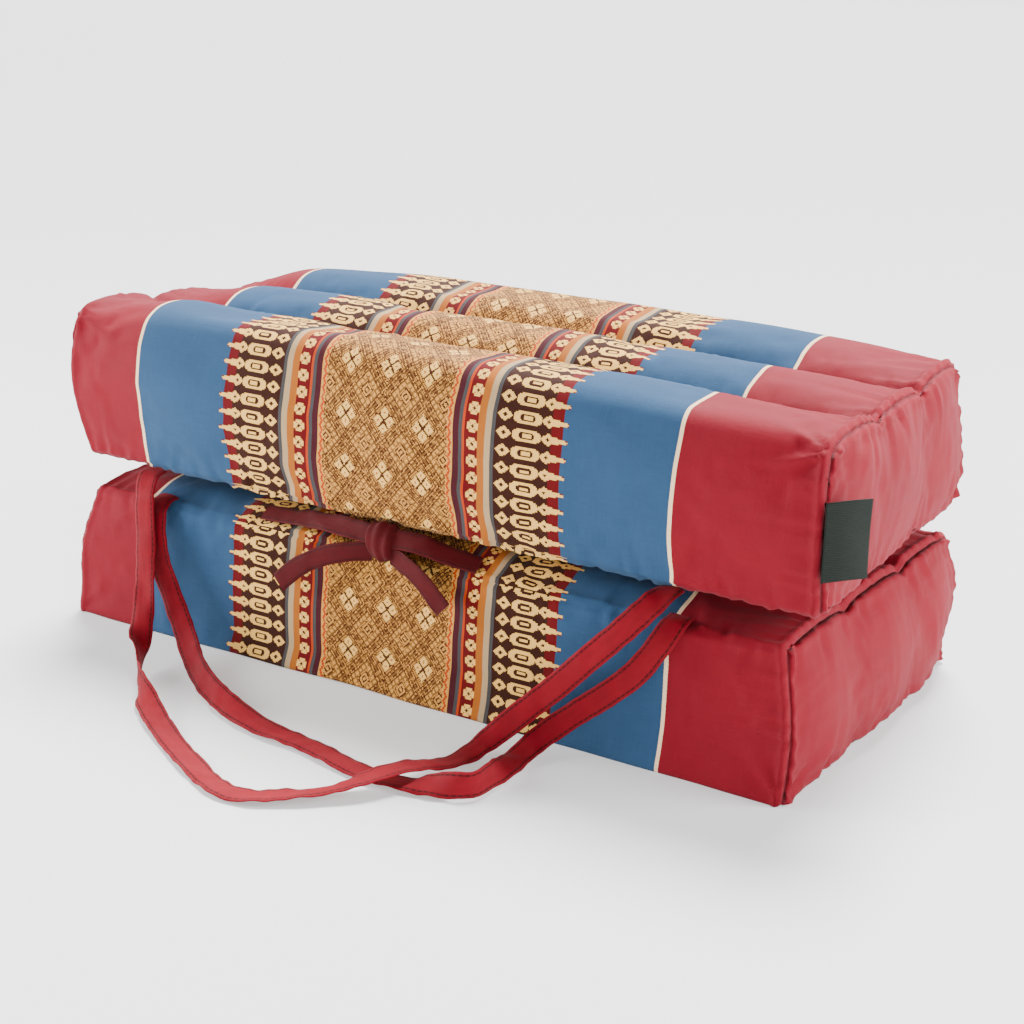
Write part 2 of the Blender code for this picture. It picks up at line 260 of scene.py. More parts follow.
def soft_lumps(seed, x, y, z, size):
    """Smooth uneven swelling over a surface, about one lump for each size."""
    chance = np.random.default_rng(seed)
    total = np.zeros_like(x)
    for _ in range(10):
        direction = chance.normal(size=3)
        direction *= 2 * np.pi / (size * chance.uniform(0.7, 1.6)) / np.linalg.norm(direction)
        turn = x * direction[0] + y * direction[1] + z * direction[2]
        total += np.sin(turn + chance.uniform(0, 6.3))
    return total / 4.5


def surface_normals(grid):
    """Outward normals of a run, in its left-handed set of axes."""
    along = np.gradient(grid, axis=0)
    across = np.gradient(grid, axis=1)
    return unit(np.cross(across, along))


def pinches(waves, place, distance, depth, reach, lean):
    """Gathers beside a seam: folds across it that fade away from it."""
    sway = waves["sway"].at(place)
    fold = waves["fold"].at(place + sway * lean * distance)
    length = reach * (1.0 + 0.45 * waves["sway"].at(place * 1.7 + 40.0))
    length = np.maximum(length, reach * 0.35)
    sharp = np.sign(fold) * np.abs(fold) ** 1.3
    rise = 1.0 - np.exp(-distance / 1.2)
    return depth * sharp * np.exp(-distance / length) * (0.35 + 0.65 * rise)


def seam_ridge(distance):
    return np.exp(-((distance - RIDGE_AT) / RIDGE_WIDTH) ** 2)


def seam_profile(distance, ridge, groove):
    """Across a seam: a narrow stitched groove between two soft ridges of turned-in cloth."""
    return ridge * seam_ridge(distance) - groove * np.exp(-(distance / STITCH_WIDTH) ** 2)


def seam_waves(seed, shortest=6.5, longest=19.0):
    return {"fold": Waves(seed, shortest, longest), "sway": Waves(seed + 500, 23.0, 90.0, 4)}


def corner_pull(along, across, seed, depth=1.3, reach=15.0):
    """Creases that run out from a sewn corner; along and across are distances from it."""
    away = np.sqrt(along ** 2 + across ** 2)
    angle = np.arctan2(across, along)
    chance = np.random.default_rng(seed)
    creases = np.sin(angle * 8.0 + chance.uniform(0, 6.3))
    creases = creases + 0.6 * np.sin(angle * 13.0 + chance.uniform(0, 6.3))
    return depth * creases * (1.0 - np.exp(-away / 2.5)) * np.exp(-(away / reach) ** 1.3)


def make_cover(name, section, ends, seam_z, outwards, seed):
    """One block's cover as a closed mesh, with its cloth coordinates as a UV map."""
    is_upper = outwards > 0
    half_rows = list(range(SEAM_ROW, len(section)))
    if not is_upper:
        half_rows.insert(EDGE_ROW - SEAM_ROW, EDGE_ROW)
    outer_rows = [(row, 1.0) for row in half_rows]
    outer_rows += [(row, -1.0) for row in half_rows[-2::-1]]
    fold_rows = [(row, -1.0) for row in range(SEAM_ROW, -1, -1)]
    fold_rows += [(row, 1.0) for row in range(1, SEAM_ROW + 1)]
    outer_net = control_net(section, ends, outer_rows, is_upper)
    fold_net = control_net(section, ends, fold_rows, is_upper)

    middle = len(outer_net) // 2
    face = EDGE_ROW - SEAM_ROW + (0.0 if is_upper else 0.5)
    top = len(outer_rows) - 1 - face
    spans = ((0, face, FACE_STEPS), (face, top, SIDE_STEPS), (top, len(outer_rows) - 1, FACE_STEPS))
    outer_at = [even_steps(outer_net[middle][:, 1:], low, high, steps)[:-1]
                for low, high, steps in spans]
    outer_at = np.concatenate(outer_at + [[len(outer_rows) - 1.0]])
    fold_at = even_steps(fold_net[middle][:, 1:], 0, len(fold_rows) - 1, SIDE_STEPS)

    # Columns crowd towards the sewn ends
    share = np.linspace(-1.0, 1.0, LENGTH_STEPS + 1)
    share = 0.55 * share + 0.45 * np.sin(share * np.pi / 2)
    count = len(STATIONS)
    along = spline_weights(np.interp(share * HALF_LENGTH, STATIONS, np.arange(count)), count)

    outer = np.einsum("ui,vj,ijk->uvk", along, spline_weights(outer_at, len(outer_rows)), outer_net)
    fold = np.einsum("ui,vj,ijk->uvk", along, spline_weights(fold_at, len(fold_rows)), fold_net)

    waves = [seam_waves(seed + k) for k in range(12)]
    outer, outer_v = shape_run(outer, waves[:6], seed, True)
    fold, fold_v = shape_run(fold, waves[6:], seed + 31, False)
    ring = np.concatenate([outer[:, :-1], fold[:, :-1]], axis=1)
    wrap = np.concatenate([outer_v[:-1], outer_v[-1] + fold_v])

    left = end_panel(ring[0], -1.0, seed + 70)
    right = end_panel(ring[-1], 1.0, seed + 80)
    for part in (ring, left, right):
        settle_corners(part, is_upper)
    ring, left, right = swell_with_cloth(ring, left, right)
    lowest = UPPER_FLAT_Z - seam_z if is_upper else seam_z - LOWER_FLAT_Z
    highest = np.inf if is_upper else seam_z
    for part in (ring, left, right):
        part[..., 2] = np.clip(part[..., 2], lowest, highest)
    return build_cover(name, ring, wrap, left, right, seam_z, outwards)


def risen(distance, reach):
    """0 at a seam, rising evenly to 1 at reach."""
    return np.clip(distance / reach, 0.0, 1.0)


def ramp(value, low, high):
    """0 at low, 1 at high and smooth between."""
    share = np.clip((value - low) / (high - low), 0.0, 1.0)
    return share * share * (3.0 - 2.0 * share)


def settle_corners(points, is_upper):
    """Moves a cover's corners as they settle: full, drawn in or sunk; z counts out of the fold."""
    x, y, z = np.moveaxis(points.copy(), -1, 0)
    at_right = ramp(x, 135.0, 205.0)
    if is_upper:
        full = at_right * ramp(-y, 25.0, 92.0) * (1.0 - ramp(z, 8.0, 60.0))
        points[..., 0] += RIGHT_FULL[0] * full
        points[..., 1] -= RIGHT_FULL[1] * full
        at_back = ramp(-y, -45.0, 60.0)
        at_top = ramp(z, 30.0, 74.0)
        shoulder = ramp(-x, 150.0, 182.0) * (1.0 - 0.8 * ramp(-x, 186.0, 204.0))
        sunk = ramp(-x, 162.0, 212.0) * at_back * at_top
        shoulder = shoulder * (1.0 - at_back) * at_top
        points[..., 0] += LEFT_SUNK[0] * sunk
        points[..., 2] -= LEFT_SHOULDER * shoulder + LEFT_SUNK[1] * sunk
    else:
        drawn = at_right * ramp(-y, 45.0, 95.0) * ramp(z, 12.0, 68.0)
        points[..., 0] -= RIGHT_DRAWN[0] * drawn
        points[..., 1] += RIGHT_DRAWN[1] * drawn


def shape_run(grid, waves, seed, is_outer):
    """Adds seams, sewn grooves, gathers and soft lumps to one run of the cover."""
    x, y, z = np.moveaxis(grid, -1, 0)
    v = walked_along(grid[len(grid) // 2])
    from_first = np.broadcast_to(v, x.shape)
    from_last = v[-1] - from_first
    end_low = x - x[0]
    end_high = x[-1] - x
    inside = np.minimum(end_low, end_high)

    normal = surface_normals(grid)
    swell = soft_lumps(seed, x, y, z, 62.0) * 0.7 * risen(inside, 25.0)
    for distance, wave, strength in ((end_low, waves[0], 0.35), (end_high, waves[1], 1.0)):
        swell += seam_profile(distance, 0.4 + 1.1 * strength, 1.2)
        swell += pinches(wave, from_first, distance, 0.9 * strength, 17.0, 0.25)
    for distance, wave in ((from_first, waves[2]), (from_last, waves[3])):
        swell += seam_profile(distance, 0.8, 0.9) * risen(inside, 6.0)
        swell += pinches(wave, x, distance, 0.7, 8.0, 0.3) * risen(inside, 12.0)
    for side, wave in ((1.0, waves[4]), (-1.0, waves[5])):
        on_side = np.abs(y - side * GROOVE_DEPTH)
        if is_outer:
            on_side = on_side + 1000.0 * (z < 30.0)
        depth = 0.65 + 0.35 * risen(inside, 30.0)
        for dent, width in CHANNEL_DENTS:
            swell -= dent * np.exp(-(on_side / width) ** 2) * depth
        swell += pinches(wave, x, on_side, 0.8, 10.0, 0.2) * depth
    if is_outer:
        for corner in (v[FACE_STEPS], v[-1] - v[FACE_STEPS]):
            swell += corner_pull(end_high, from_first - corner, seed + 3)
            swell += corner_pull(end_low, from_first - corner, seed + 4, 0.5)
    return grid + normal * swell[..., None], v


def end_panel(ring, direction, seed):
    """The end's panel as a grid inside its ring of seam points: [along the depth, height]."""
    front = ring[:FACE_STEPS + 1]
    outer = ring[FACE_STEPS:FACE_STEPS + SIDE_STEPS + 1]
    back = ring[FACE_STEPS + SIDE_STEPS:2 * FACE_STEPS + SIDE_STEPS + 1][::-1]
    fold = np.concatenate([ring[2 * FACE_STEPS + SIDE_STEPS:], ring[:1]])[::-1]
    s = np.linspace(0.0, 1.0, SIDE_STEPS + 1)[:, None, None]
    t = np.linspace(0.0, 1.0, FACE_STEPS + 1)[None, :, None]
    grid = (1 - t) * fold[:, None] + t * outer[:, None] + (1 - s) * front[None] + s * back[None]
    grid = grid - ((1 - s) * (1 - t) * fold[0] + s * (1 - t) * fold[-1]
                   + (1 - s) * t * outer[0] + s * t * outer[-1])
    s, t = np.broadcast_arrays(s[..., 0], t[..., 0])
    depth, height = 2 * HALF_DEPTH, PANEL_HEIGHT
    to_front, to_back = s * depth, (1 - s) * depth
    to_fold, to_outer = t * height, (1 - t) * height
    rim = np.minimum(np.minimum(to_front, to_back), np.minimum(to_fold, to_outer))
    strength = 1.0 if direction > 0 else 0.4
    crown = (1 - (2 * s - 1) ** 4) * (1 - (2 * t - 1) ** 4)
    channels = np.cos(s * 6 * np.pi) * (1 - (2 * s - 1) ** 8) * (0.35 + 0.65 * t)
    swell = crown * (PANEL_CROWN - PANEL_CHANNELS * channels)
    swell += soft_lumps(seed, to_front, to_fold, 0 * s, 46.0) * 0.9 * risen(rim, 20.0)
    folds = ((to_front, to_fold, 0), (to_back, to_fold, 1),
             (to_fold, to_front, 2), (to_outer, to_front, 3))
    gather = np.zeros_like(swell)
    for distance, place, number in folds:
        waves = seam_waves(seed + number, 7.0, 26.0)
        gather += pinches(waves, place, distance, 0.8 * strength, 17.0, 0.3)
        gather += (0.4 + 1.1 * strength) * seam_ridge(distance)
    for along in (to_front, to_back):
        gather += corner_pull(along, to_outer, seed + 9, 1.2 * strength, 18.0)
    swell += gather * risen(rim, 1.2)
    grid = grid.copy()
    grid[..., 0] += direction * swell
    grid[0], grid[-1], grid[:, 0], grid[:, -1] = front, back, fold, outer
    return grid


def refined(coarse, axis, wrapped=False):
    """Every third point known: fills in the two between, smoothly."""
    coarse = np.moveaxis(coarse, axis, 0)
    count = len(coarse)
    if wrapped:
        coarse = np.concatenate([coarse[-2:], coarse, coarse[:3]])
    flat = coarse.reshape(len(coarse), -1)
    at = np.arange((len(coarse) - 1) * CLOTH_STRIDE + 1) / CLOTH_STRIDE
    fine = through(flat, at).reshape(len(at), *coarse.shape[1:])
    if wrapped:
        fine = fine[2 * CLOTH_STRIDE:(2 + count) * CLOTH_STRIDE]
    return np.moveaxis(fine, 0, axis)


def swell_with_cloth(ring, left, right):
    """Lets a coarse copy of the cover fill out under pressure, held where it is sewn."""
    step = CLOTH_STRIDE
    coarse_ring = ring[::step, ::step]
    coarse_left, coarse_right = left[::step, ::step], right[::step, ::step]
    face_steps, side_steps = FACE_STEPS // step, SIDE_STEPS // step
    points, faces = joined(coarse_ring, coarse_left, coarse_right, face_steps, side_steps)
    columns, around = coarse_ring.shape[:2]
    held = np.zeros((columns, around))
    held[0] = held[-1] = 1.0
    outer_last = 2 * face_steps + side_steps
    held[:, 0] = held[:, outer_last] = 1.0
    for j in range(around):
        beside = abs(abs(coarse_ring[columns // 2, j, 1]) - GROOVE_DEPTH)
        is_face = 0 < j < face_steps or outer_last - face_steps < j < outer_last
        if not is_face and beside < 4.0:
            held[:, j] = 1.0
    held = held.ravel()
    from_left = np.abs(points[:, 0] - points[:, 0].min())
    from_right = np.abs(points[:, 0].max() - points[:, 0])
    spare = 0.45 * np.exp(-(from_left / CLOTH_SPARE_REACH) ** 2)
    spare = spare + np.exp(-(from_right / CLOTH_SPARE_REACH) ** 2)

    scene = bpy.context.scene
    body = new_piece("cloth_run", points * MM, faces)
    group = body.vertex_groups.new(name="held")
    group.add([int(index) for index in np.flatnonzero(held)], 1.0, "REPLACE")
    slack = body.vertex_groups.new(name="slack")
    for index in np.flatnonzero(spare > 0.02):
        slack.add([int(index)], min(float(spare[index]), 1.0), "REPLACE")
    cloth = body.modifiers.new("Cloth", "CLOTH")
    settings = cloth.settings
    settings.quality = CLOTH_QUALITY
    settings.mass = 0.02
    settings.tension_stiffness = 30.0
    settings.compression_stiffness = 30.0
    settings.shear_stiffness = 12.0
    settings.bending_stiffness = 0.5
    settings.air_damping = 3.0
    settings.vertex_group_mass = "held"
    settings.pin_stiffness = 1.0
    settings.vertex_group_shrink = "slack"
    settings.shrink_min = -CLOTH_SPARE_MIDDLE
    settings.shrink_max = -CLOTH_SPARE_ENDS
    settings.use_pressure = True
    settings.uniform_pressure_force = CLOTH_PRESSURE
    settings.effector_weights.gravity = 0.0
    cloth.point_cache.frame_start = 1
    cloth.point_cache.frame_end = CLOTH_FRAMES
    for number in range(1, CLOTH_FRAMES + 1):
        scene.frame_set(number)
    shaped = body.evaluated_get(bpy.context.evaluated_depsgraph_get())
    after = np.empty(len(points) * 3)
    shaped.data.vertices.foreach_get("co", after)
    scene.frame_set(1)
    bpy.data.meshes.remove(body.data)

    move = after.reshape(-1, 3) / MM - points
    reach = np.linalg.norm(move, axis=1, keepdims=True)
    move *= np.minimum(1.0, CLOTH_CAP / np.maximum(reach, 1e-9))
    ring_move = move[:columns * around].reshape(columns, around, 3)
    ring = ring + refined(refined(ring_move, 0), 1, wrapped=True)
    panels = []
    start = columns * around
    inner = (side_steps - 1, face_steps - 1)
    count = inner[0] * inner[1]
    for panel in (left, right):
        panel_move = np.zeros((inner[0] + 2, inner[1] + 2, 3))
        panel_move[1:-1, 1:-1] = move[start:start + count].reshape(*inner, 3)
        start += count
        panels.append(panel + refined(refined(panel_move, 0), 1))
    return ring, *panels


def joined(ring, left, right, face_steps, side_steps):
    """Points and faces of the tube with both end panels sewn into its rims."""
    columns, around = ring.shape[:2]
    index = np.arange(columns * around).reshape(columns, around)
    points = [ring.reshape(-1, 3)]
    faces = []
    for i in range(columns - 1):
        for j in range(around):
            faces.append([index[a, b % around] for a, b in quad(i, j)])
    start = columns * around
    for panel, row, direction in ((left, 0, -1.0), (right, columns - 1, 1.0)):
        deep, tall = panel.shape[:2]
        spot = np.zeros((deep, tall), int)
        count = (deep - 2) * (tall - 2)
        spot[1:-1, 1:-1] = start + np.arange(count).reshape(deep - 2, tall - 2)
        points.append(panel[1:-1, 1:-1].reshape(-1, 3))
        start += count
        edge = index[row]
        far = face_steps + side_steps
        spot[0, :] = edge[:face_steps + 1]
        spot[:, -1] = edge[face_steps:far + 1]
        spot[-1, :] = edge[far:far + face_steps + 1][::-1]
        spot[:, 0] = np.concatenate([edge[far + face_steps:], edge[:1]])[::-1]
        for s in range(deep - 1):
            for t in range(tall - 1):
                corners = [spot[a, b] for a, b in quad(s, t)]
                faces.append(corners[::-1] if direction > 0 else corners)
    return np.concatenate(points), [tuple(int(i) for i in face) for face in faces]


def build_cover(name, ring, wrap, left, right, seam_z, outwards):
    """Joins the tube and both end panels into one mesh, with cloth coordinates."""
    points, faces = joined(ring, left, right, FACE_STEPS, SIDE_STEPS)
    columns, around = ring.shape[:2]
    first, step = PANEL_CLOTH
    marks = []
    for i in range(columns - 1):
        for j in range(around):
            marks.append(tuple((ring[a, j, 0], wrap[b]) for a, b in quad(i, j)))
    for direction in (-1.0, 1.0):
        for s in range(SIDE_STEPS):
            for t in range(FACE_STEPS):
                corners = quad(s, t)[::-1] if direction > 0 else quad(s, t)
                marks.append(tuple((direction * (first + t * step), s * step) for s, t in corners))
    placed = np.stack([points[:, 0], -points[:, 1], seam_z + outwards * points[:, 2]], axis=1) * MM
    if outwards < 0:
        faces = [face[::-1] for face in faces]
        marks = [mark[::-1] for mark in marks]
    cover = new_piece(name, placed, faces, np.array(marks, dtype=np.float32) * MM)
    cover.data.validate()
    return cover


def new_piece(name, points, faces, marks=None):
    """A smooth mesh of points in metres, with cloth coordinates at its faces' corners."""
    mesh = bpy.data.meshes.new(name)
    mesh.from_pydata(np.asarray(points).reshape(-1, 3).tolist(), [], faces)
    if marks is not None:
        cloth = mesh.uv_layers.new(name="cloth")
        cloth.data.foreach_set("uv", np.array(marks, dtype=np.float32).ravel())
    mesh.shade_smooth()
    piece = bpy.data.objects.new(name, mesh)
    bpy.context.scene.collection.objects.link(piece)
    return piece


def quad(i, j):
    """Corners of a net's mesh i, j in turn."""
    return (i, j), (i + 1, j), (i + 1, j + 1), (i, j + 1)


def open_net(steps, rise, pitch):
    """Faces of a net with steps by rise meshes, and cloth coordinates of their corners."""
    faces, marks = [], []
    for i in range(steps):
        for j in range(rise):
            faces.append(tuple(a * (rise + 1) + b for a, b in quad(i, j)))
            marks += [(a * pitch[0], b * pitch[1]) for a, b in quad(i, j)]
    return faces, marks


def thicken(piece, thickness):
    solid = piece.modifiers.new("Cloth", "SOLIDIFY")
    solid.thickness = thickness * MM
    solid.offset = 0.0


def cover_pair(material):
    """Both blocks' covers, in place of the plain solids."""
    upper = make_cover("upper_cover", UPPER_SECTION, UPPER_ENDS, UPPER_SEAM_Z, 1.0, 11)
    lower = make_cover("lower_cover", LOWER_SECTION, LOWER_ENDS, LOWER_SEAM_Z, -1.0, 57)
    for cover, node in ((upper, "upper_block"), (lower, "lower_block")):
        cover.data.materials.append(material)
        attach(cover, "root")
        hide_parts(node)


class Term:
    """A number inside a node tree, with ordinary arithmetic."""

    def __init__(self, tree, socket):
        self.tree = tree
        self.socket = socket

    def math(self, operation, *others):
        node = self.tree.nodes.new("ShaderNodeMath")
        node.operation = operation
        for place, value in enumerate((self, *others)):
            if isinstance(value, Term):
                self.tree.links.new(value.socket, node.inputs[place])
            else:
                node.inputs[place].default_value = value
        return Term(self.tree, node.outputs[0])

    def __add__(self, other):
        return self.math("ADD", other)

    def __sub__(self, other):
        return self.math("SUBTRACT", other)

    def __mul__(self, other):
        return self.math("MULTIPLY", other)

    def __truediv__(self, other):
        return self.math("DIVIDE", other)

    def size(self):
        return self.math("ABSOLUTE")

    def below(self, limit):
        return self.math("LESS_THAN", limit)

    def above(self, limit):
        return self.math("GREATER_THAN", limit)

    def within(self, low, high):
        return self.above(low) * self.below(high)

    def either(self, other):
        return self.math("MAXIMUM", other)

    def stepped(self, step):
        """Rounded to the middle of a thread."""
        return ((self / step).math("FLOOR") + 0.5) * step

    def to_nearest(self, repeat):
        """Distance from the middle of the nearest repeat, with its sign."""
        return (self + repeat / 2).math("FLOORED_MODULO", repeat) - repeat / 2

    def weave(self, length):
        return (self / length * (2 * np.pi)).math("SINE")


def new_material(name):
    material = bpy.data.materials.new(name)
    material.use_nodes = True
    tree = material.node_tree
    return material, tree, tree.nodes["Principled BSDF"]


def node_of(tree, kind, **values):
    """A new node with its named properties and, for names of inputs, its input values."""
    node = tree.nodes.new(kind)
    for name, value in values.items():
        if name in node.inputs:
            node.inputs[name].default_value = value
        else:
            setattr(node, name, value)
    return node


def linear(red, green, blue):
    """A colour seen as these 0 to 255 values, as the shader's linear numbers."""
    return tuple((part / 255) ** 2.2 for part in (red, green, blue)) + (1.0,)


def mixed(tree, share, under, over, blend="MIX"):
    """Colour socket: over laid on under where share is 1."""
    node = tree.nodes.new("ShaderNodeMix")
    node.data_type = "RGBA"
    node.blend_type = blend
    for place, value in ((0, share), (6, under), (7, over)):
        value = getattr(value, "socket", value)
        if isinstance(value, bpy.types.NodeSocket):
            tree.links.new(value, node.inputs[place])
        else:
            node.inputs[place].default_value = value
    return node.outputs[2]


def layered(tree, colour, layers):
    """The colour under layers, each a share and a colour, laid on in turn."""
    for share, over in layers:
        colour = mixed(tree, share, colour, over)
    return colour


def toned(tree, colour, shade):
    """The colour made darker or lighter by a shade."""
    tone = node_of(tree, "ShaderNodeCombineColor")
    for place in range(3):
        tree.links.new(shade.socket, tone.inputs[place])
    return mixed(tree, 1.0, colour, tone.outputs[0], "MULTIPLY")


def bumped(tree, relief, strength, distance):
    """A bump node of the relief."""
    bump = node_of(tree, "ShaderNodeBump", Strength=strength, Distance=distance)
    tree.links.new(relief.socket, bump.inputs["Height"])
    return bump


def set_inputs(node, values):
    for name, value in values.items():
        node.inputs[name].default_value = value


def finished(tree, shader, colour, bump, roughness, specular, sheen=(0.0, 0.5)):
    """Joins colour, bump and roughness to the shader and sets gloss and sheen."""
    tree.links.new(colour, shader.inputs["Base Color"])
    tree.links.new(bump.outputs[0], shader.inputs["Normal"])
    tree.links.new(roughness.socket, shader.inputs["Roughness"])
    set_inputs(shader, {
        "Specular IOR Level": specular,
        "Sheen Weight": sheen[0],
        "Sheen Roughness": sheen[1],
    })


def cloth_axes(tree):
    """The cloth coordinates, and their two parts in millimetres."""
    cloth = node_of(tree, "ShaderNodeUVMap", uv_map="cloth").outputs[0]
    parts = node_of(tree, "ShaderNodeSeparateXYZ")
    tree.links.new(cloth, parts.inputs[0])
    return cloth, Term(tree, parts.outputs[0]) * 1000.0, Term(tree, parts.outputs[1]) * 1000.0


def noise(tree, vector, scale, detail=2.0, roughness=0.5):
    node = node_of(tree, "ShaderNodeTexNoise", Scale=scale, Detail=detail, Roughness=roughness)
    tree.links.new(vector, node.inputs["Vector"])
    return Term(tree, node.outputs[0])


def drawn_noise(tree, vector, along, across):
    """Noise squeezed along and across the cloth by these factors."""
    node = node_of(tree, "ShaderNodeMapping", Scale=(along, across, 1.0))
    tree.links.new(vector, node.inputs["Vector"])
    return noise(tree, node.outputs[0], 1.0)


RED = linear(112, 0, 28)
BLUE = linear(42, 68, 96)
CREAM = linear(218, 168, 88)
PALE_LINE = linear(222, 190, 152)
BROWN = linear(48, 20, 6)
DEEP_RED = linear(88, 0, 12)
TAN = linear(188, 132, 62)
DARK_TAN = linear(62, 30, 8)
PURPLE = linear(62, 20, 28)
SLATE = linear(62, 60, 60)
STONE = linear(156, 130, 96)
ORANGE = linear(160, 54, 12)
AMBER = linear(150, 84, 28)


def khit_colour(tree, a, v, x):
    """Colour of the woven pattern: a from its middle line, v round the cushion, both in mm."""
    across = v.to_nearest(REPEAT).size()

    # Lattice of diamonds with flowers and small squares
    p = x / LATTICE_CELL[0]
    q = v / LATTICE_CELL[1]
    first = p + q
    second = p - q
    row, line = first.math("ROUND"), second.math("ROUND")
    s, t = (first - row).size(), (second - line).size()
    ring = s.either(t)
    is_flower = (row + line).math("FLOORED_MODULO", 2.0).below(0.5)
    fine = (first * 7.0).math("FRACT").within(0.30, 0.62)
    fine = fine.either((second * 7.0).math("FRACT").within(0.30, 0.62))
    petals = s.within(0.03, 0.25) * t.within(0.03, 0.25)
    hearts = s.within(0.115, 0.175) * t.within(0.115, 0.175)
    is_square = (is_flower - 1.0).size()
    colour = layered(tree, TAN, (
        (fine * 0.75, DARK_TAN),
        (ring.within(0.43, 0.465), DARK_TAN),
        (ring.within(0.365, 0.395), DARK_TAN),
        (is_flower * ring.below(0.33), TAN),
        (is_flower * ring.within(0.285, 0.315), DARK_TAN),
        (is_flower * ring.below(0.262), DARK_TAN),
        (is_flower * petals, CREAM),
        (is_flower * hearts, AMBER),
        (is_square * ring.below(0.19), TAN),
        (is_square * ring.within(0.135, 0.175), DARK_TAN),
        (is_square * ring.within(0.045, 0.085), BROWN),
    ))

    # Stripes beside the lattice
    zigzag = (v.to_nearest(4.5).size() * 0.5 + (ORANGE_THREAD - 1.0) - a).size().below(0.6)
    blossom = (a - FLOWER_COLUMN).size()
    star = (blossom * blossom + across * across).math("SQRT")
    leaves = (blossom + across).below(3.9) * star.below(2.9)
    notch = (blossom - across).size().below(0.45) * star.above(1.5)
    colour = layered(tree, colour, (
        (a.above(LATTICE_EDGE), TAN),
        (zigzag, ORANGE),
        (a.above(PURPLE_STRIPE[0]), PURPLE),
        (a.above(PURPLE_STRIPE[0] + 3.0), SLATE),
        (a.above(PURPLE_STRIPE[1]), ORANGE),
        (a.above(PURPLE_STRIPE[1] + 1.0), DEEP_RED),
        (leaves, CREAM),
        (notch * leaves, AMBER),
        (star.below(0.8), BROWN),
        (a.above(AMBER_BAND), AMBER),
        (a.above(LIGHT_STRIPE), STONE),
        (a.above(SLATE_STRIPE[0]), SLATE),
    ))

    # Chains of small diamond, long oval, arrow and tip
    ground = a.above(SLATE_STRIPE[1])
    small = (a - SMALL_DIAMOND).size() / 3.8 + across / 3.2
    long = (a - OVAL).size()
    oval = (long / 9.2 + across / 5.6).either(across / 3.0).either(long / 6.9)
    dash = (long / 2.2).either(across / 0.7)
    arrow = (a - ARROW).size() / 3.9 + across / 2.9
    spike = across - (a * -TIP_SLOPE + (TIP_SLOPE * TIP_END + 0.45))
    return layered(tree, colour, (
        (ground, BROWN),
        (a.above(TEETH), DEEP_RED),
        (small.below(1.0) * ground, CREAM),
        (small.below(0.34) * ground, BROWN),
        (oval.below(1.0) * ground, CREAM),
        (oval.below(0.56) * ground, BROWN),
        (dash.below(1.0), CREAM),
        (arrow.below(1.0) * ground, CREAM),
        (arrow.below(0.28) * ground, BROWN),
        (spike.below(0.0) * a.within(TEETH, TIP_END), CREAM),
    ))


def cover_material():
    """Patterned cloth: woven middle, plain blue, a cream line and red towards the ends."""
    material, tree, shader = new_material("patterned_cover")
    cloth, x, v = cloth_axes(tree)
    x = x - PATTERN_MIDDLE
    wander = (drawn_noise(tree, cloth, 9.0, 26.0) - 0.5) * 2.2
    woven_x = (x + wander).stepped(THREAD)
    woven_v = v.stepped(THREAD)
    a = woven_x.size()
    pattern = khit_colour(tree, a, woven_v, woven_x)

    spike_gap = woven_v.to_nearest(REPEAT).size().above(0.9)
    is_blue = a.above(TIP_END).either(a.above(TIP_END - 2.6) * spike_gap)
    is_red = a.above(CREAM_LINE[1])
    colour = layered(tree, pattern, (
        (is_blue, BLUE),
        (a.above(CREAM_LINE[0]), PALE_LINE),
        (is_red, RED),
    ))

    threads = drawn_noise(tree, cloth, 2600.0, 90.0) + drawn_noise(tree, cloth, 90.0, 2600.0)
    blotch = noise(tree, cloth, 38.0, 3.0)
    colour = toned(tree, colour, threads * 0.30 + blotch * 0.22 + 0.60)

    relief = x.weave(WEAVE) * v.weave(WEAVE) * 0.18 + threads * 0.5
    relief = relief + a.below(TIP_END) * 0.4
    bump = bumped(tree, relief, 0.35, 0.0004)
    creases = bumped(tree, noise(tree, cloth, 120.0, 4.0, 0.6), 0.25, 0.0012)
    tree.links.new(bump.outputs[0], creases.inputs["Normal"])
    roughness = is_red * -0.14 + 0.86 + (blotch - 0.5) * 0.1
    finished(tree, shader, colour, creases, roughness, 0.14, (0.04, 0.5))
    return material


HANDLE_RED = linear(118, 0, 26)
# The tie and knot are the handles' cloth; this darker red is painted shade for where they lie in
# shadow
TIE_RED_PAINTED_SHADE = linear(72, 0, 14)
# Darker red: the stitch thread's own colour, and painted shade in a band beside the stitches
STITCH_THREAD_AND_SHADE = linear(44, 0, 8)

# Stitches of the tapes: length, and places across as shares of the half width
STITCH_LENGTH = 3.0
STITCH_DENT = 0.76
STITCH_ROW = (0.70, 0.80)
# Band of painted shade beside each row of stitches
STITCH_SHADOW = (0.66, 0.84)


def tape_material(name, base):
    """Red cotton tape: fine weave, stitched near both edges in darker thread, with painted shade
    beside the stitches.
    """
    material, tree, shader = new_material(name)
    cloth, x, edge = cloth_axes(tree)
    edge = edge.size()
    blotch = noise(tree, cloth, 60.0, 3.0)
    threads = drawn_noise(tree, cloth, 120.0, 2600.0)
    shade = threads * 0.35 + blotch * 0.3 + 0.62
    stitch = edge.within(*STITCH_ROW) * (x / STITCH_LENGTH).math("FRACT").below(0.66)
    # Painted shade in a band beside the stitches, then the darker stitch thread
    colour = layered(tree, base, (
        (edge.within(*STITCH_SHADOW) * 0.35, STITCH_THREAD_AND_SHADE),
        (stitch * 0.85, STITCH_THREAD_AND_SHADE),
    ))
    colour = toned(tree, colour, shade)
    relief = x.weave(0.5) * 0.15 + threads * 0.6 - stitch * 1.2
    relief = relief + noise(tree, cloth, 260.0, 3.0) * 0.6
    bump = bumped(tree, relief, 0.5, 0.0005)
    finished(tree, shader, colour, bump, blotch * 0.12 + 0.66, 0.14, (0.03, 0.45))
    return material


